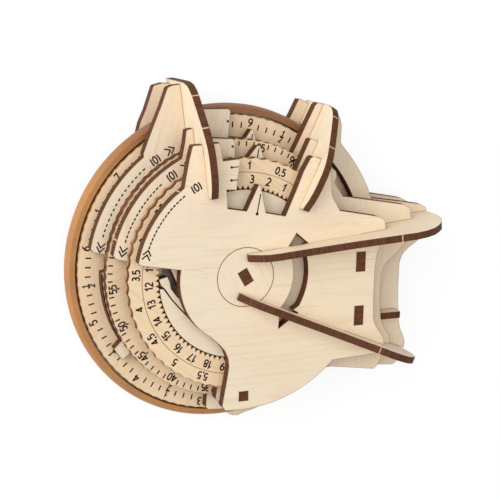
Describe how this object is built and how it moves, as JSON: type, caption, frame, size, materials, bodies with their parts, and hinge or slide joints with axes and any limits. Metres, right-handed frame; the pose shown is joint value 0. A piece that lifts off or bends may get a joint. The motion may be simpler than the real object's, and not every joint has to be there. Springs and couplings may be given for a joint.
{
  "type": "opisometer map measurer",
  "caption": "Hand-held plywood map measurer: a tyred wheel drives inch, centimetre and metre ring dials through a planetary gear train, in a laser-cut four-plate frame with a finned grip.",
  "frame": {"origin": "On the wheel's axis, in the plane of the back plate's rear face, which is also the rest face", "axes": "+Z along the wheel's axis, out of the front dials. +X from the axis towards the grip, square to the grip bridge. +Y completes the right-handed frame, towards the two ear fins"},
  "size_m": [0.1165, 0.1072, 0.0361],
  "materials": {
    "birch_ply": "laser-cut birch plywood, bare and lightly sanded, with browned cut edges",
    "amber_rubber": "smooth amber rubber band"
  },
  "bodies": {
    "frame": {"back_plate": "birch_ply", "inch_plate": "birch_ply", "cm_plate": "birch_ply", "front_plate": "birch_ply", "left_ear_fin": "birch_ply", "right_ear_fin": "birch_ply", "upper_grip_fin": "birch_ply", "lower_grip_fin": "birch_ply", "grip_bridge": "birch_ply", "heel_spacer": "birch_ply", "bottom_post": "birch_ply"},
    "wheel": {"tyre_band": "amber_rubber", "wheel_disc": "birch_ply", "inch_carrier": "birch_ply", "main_axle": "birch_ply", "front_journal": "birch_ply", "rear_journal": "birch_ply", "planet_arm": "birch_ply"},
    "inch_dial": {"inch_ring": "birch_ply"},
    "cm_drive": {"cm_carrier": "birch_ply"},
    "cm_dial": {"cm_ring": "birch_ply"},
    "metre_drive": {"metre_carrier": "birch_ply"},
    "metre_dial": {"metre_ring": "birch_ply"},
    "planet_a": {"planet_a_pin": "birch_ply", "planet_a_low_gear": "birch_ply", "planet_a_mid_gear": "birch_ply", "planet_a_top_gear": "birch_ply"},
    "planet_b": {"planet_b_pin": "birch_ply", "planet_b_low_gear": "birch_ply", "planet_b_mid_gear": "birch_ply", "planet_b_top_gear": "birch_ply"}
  },
  "joints": [
    {"name": "wheel_turn", "type": "hinge", "parent": "frame", "child": "wheel", "pos_m": [0, 0, 0], "axis": [0, 0, 1], "continuous": true},
    {"name": "cm_drive_turn", "type": "hinge", "parent": "frame", "child": "cm_drive", "pos_m": [0, 0, 0], "axis": [0, 0, 1], "continuous": true},
    {"name": "metre_drive_turn", "type": "hinge", "parent": "frame", "child": "metre_drive", "pos_m": [0, 0, 0], "axis": [0, 0, 1], "continuous": true},
    {"name": "planet_a_turn", "type": "hinge", "parent": "wheel", "child": "planet_a", "pos_m": [0.00786, 0.00551, 0], "axis": [0, 0, 1], "continuous": true},
    {"name": "planet_b_turn", "type": "hinge", "parent": "wheel", "child": "planet_b", "pos_m": [-0.00786, -0.00551, 0], "axis": [0, 0, 1], "continuous": true},
    {"name": "inch_dial_reset", "type": "hinge", "parent": "wheel", "child": "inch_dial", "pos_m": [0, 0, 0], "axis": [0, 0, 1], "continuous": true},
    {"name": "cm_dial_reset", "type": "hinge", "parent": "cm_drive", "child": "cm_dial", "pos_m": [0, 0, 0], "axis": [0, 0, 1], "continuous": true},
    {"name": "metre_dial_reset", "type": "hinge", "parent": "metre_drive", "child": "metre_dial", "pos_m": [0, 0, 0], "axis": [0, 0, 1], "continuous": true}
  ],
  "couplings": [
    {"joint": "cm_drive_turn", "follows": "wheel_turn", "ratio": 0.30435},
    {"joint": "metre_drive_turn", "follows": "wheel_turn", "ratio": -0.030303},
    {"joint": "planet_a_turn", "follows": "wheel_turn", "ratio": -2.6667},
    {"joint": "planet_b_turn", "follows": "wheel_turn", "ratio": -2.6667}
  ]
}
